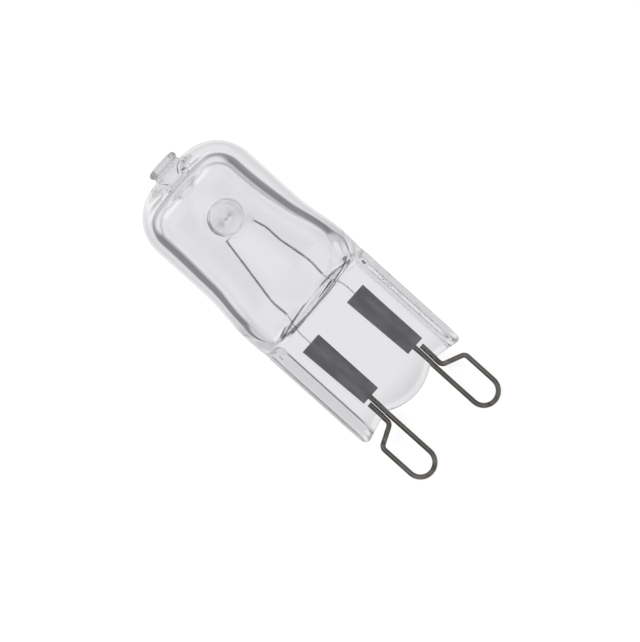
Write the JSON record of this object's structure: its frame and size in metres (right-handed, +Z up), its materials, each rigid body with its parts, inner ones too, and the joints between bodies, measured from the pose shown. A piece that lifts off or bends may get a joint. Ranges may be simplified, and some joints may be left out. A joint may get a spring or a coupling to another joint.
{
  "type": "halogen capsule bulb",
  "caption": "Clear quartz halogen capsule bulb with a domed tube, flat pinched base, clamped coil filament and wire contact loops that plug into a lamp holder.",
  "frame": {"origin": "middle of the bulb's footprint on the surface that it lies on", "axes": "+X along the lying bulb from its exhaust tip to its contact loops, +Y across the pinch, +Z up; the bulb's own axis lies in the XZ plane with its tip end a little raised"},
  "size_m": [0.0376, 0.0136, 0.0149],
  "materials": {
    "fused_quartz": "clear fused quartz, smooth, with pressed marks on the pinch",
    "tungsten_coil": "dark tungsten coil",
    "inner_lead": "thin grey lead wire",
    "seal_foil": "matt dark grey molybdenum foil",
    "contact_wire": "dark drawn molybdenum wire, a little brown"
  },
  "bodies": {
    "root": {"quartz_envelope": "fused_quartz", "filament_coil": "tungsten_coil", "left_inner_lead": "inner_lead", "right_inner_lead": "inner_lead", "left_seal_foil": "seal_foil", "right_seal_foil": "seal_foil", "left_contact_loop": "contact_wire", "right_contact_loop": "contact_wire"}
  },
  "joints": []
}
